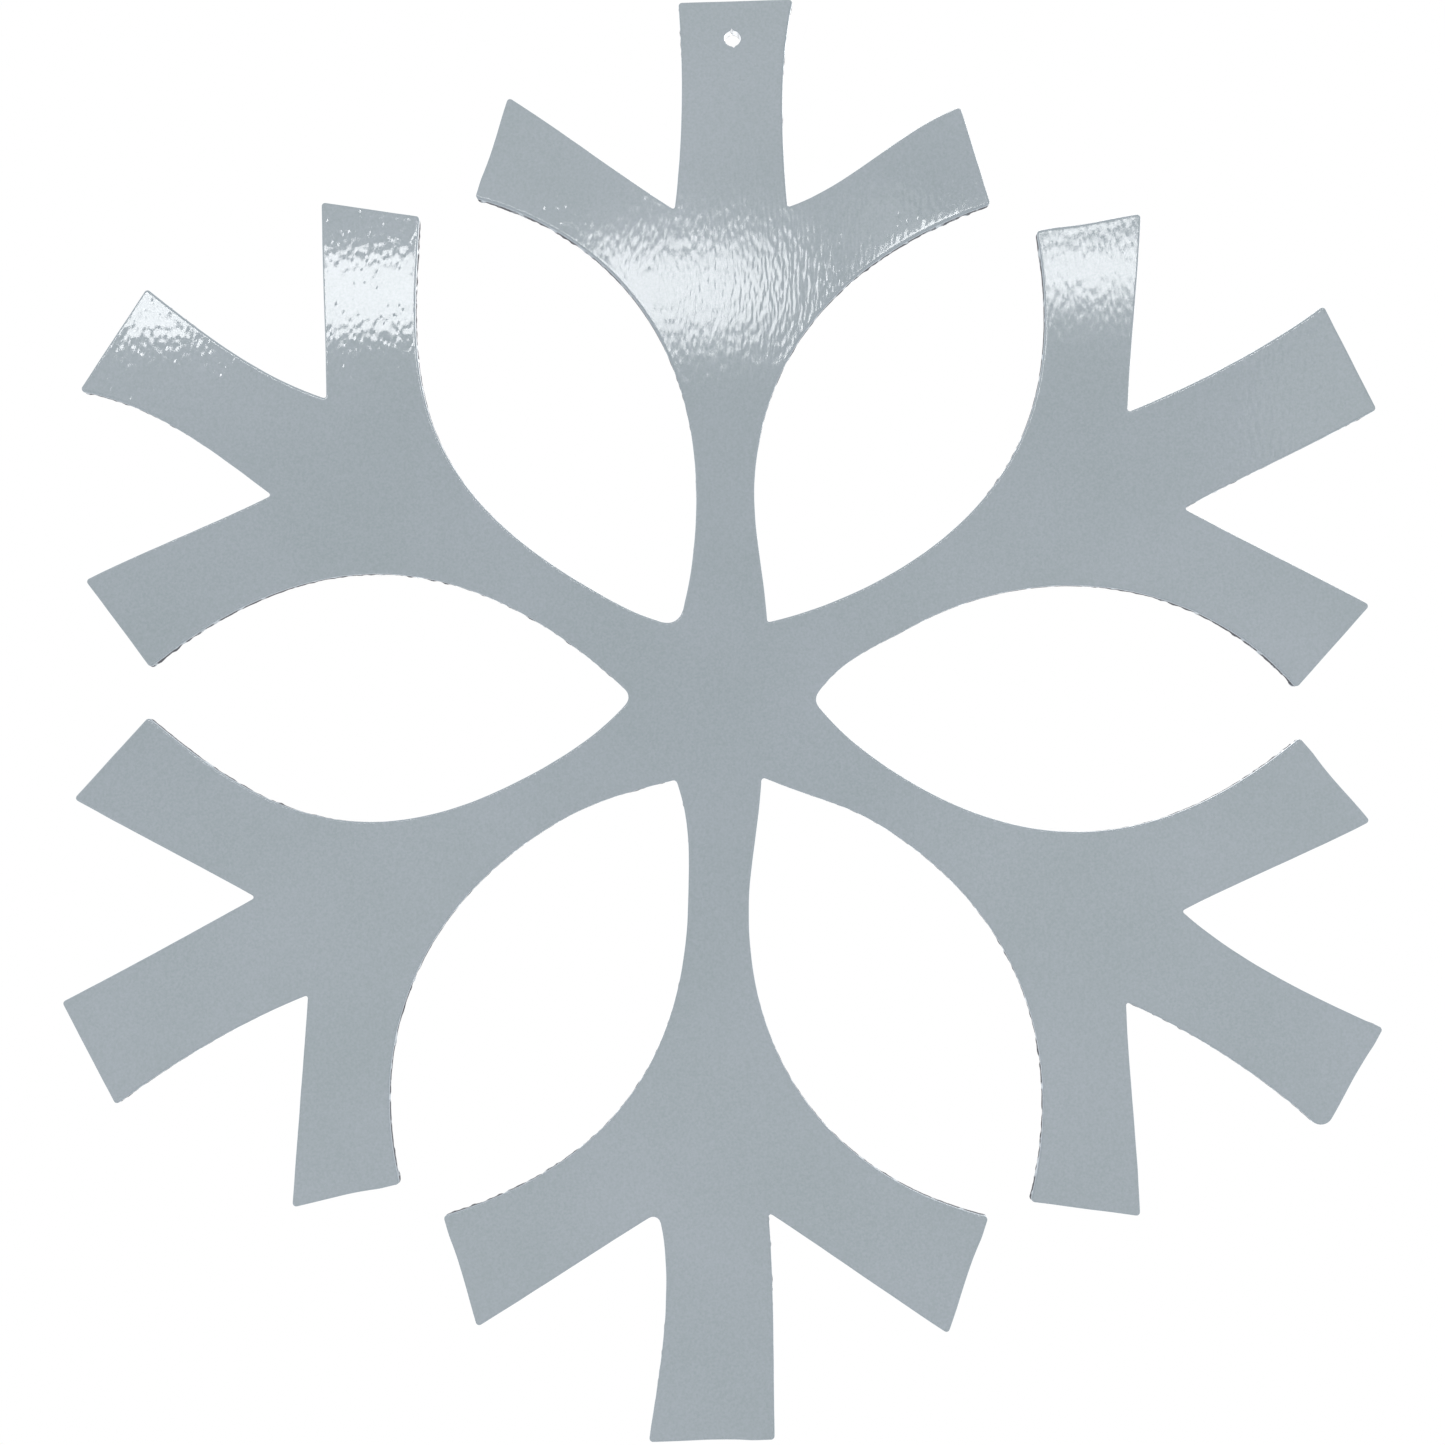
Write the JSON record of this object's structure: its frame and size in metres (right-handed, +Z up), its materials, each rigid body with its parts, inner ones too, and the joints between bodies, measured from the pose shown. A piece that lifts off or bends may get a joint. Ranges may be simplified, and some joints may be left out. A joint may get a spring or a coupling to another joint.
{
  "type": "snowflake ornament",
  "caption": "Flat snowflake ornament cut from sheet steel and powder coated, with forked arms round a hub and a small hanging hole near the end of the top arm.",
  "frame": {"origin": "centre of the hanging hole, halfway through the sheet", "axes": "+Z up with the ornament hanging upright, from the bottom arm's end to the top arm's; the sheet lies in the XZ plane with its front face towards -Y; +X to the right seen from the front"},
  "size_m": [0.2765, 0.0022, 0.3052],
  "materials": {
    "cut_steel": "satin",
    "grey_powder": "gloss"
  },
  "bodies": {
    "root": {"steel_plate": "cut_steel", "powder_coat": "grey_powder"}
  },
  "joints": []
}
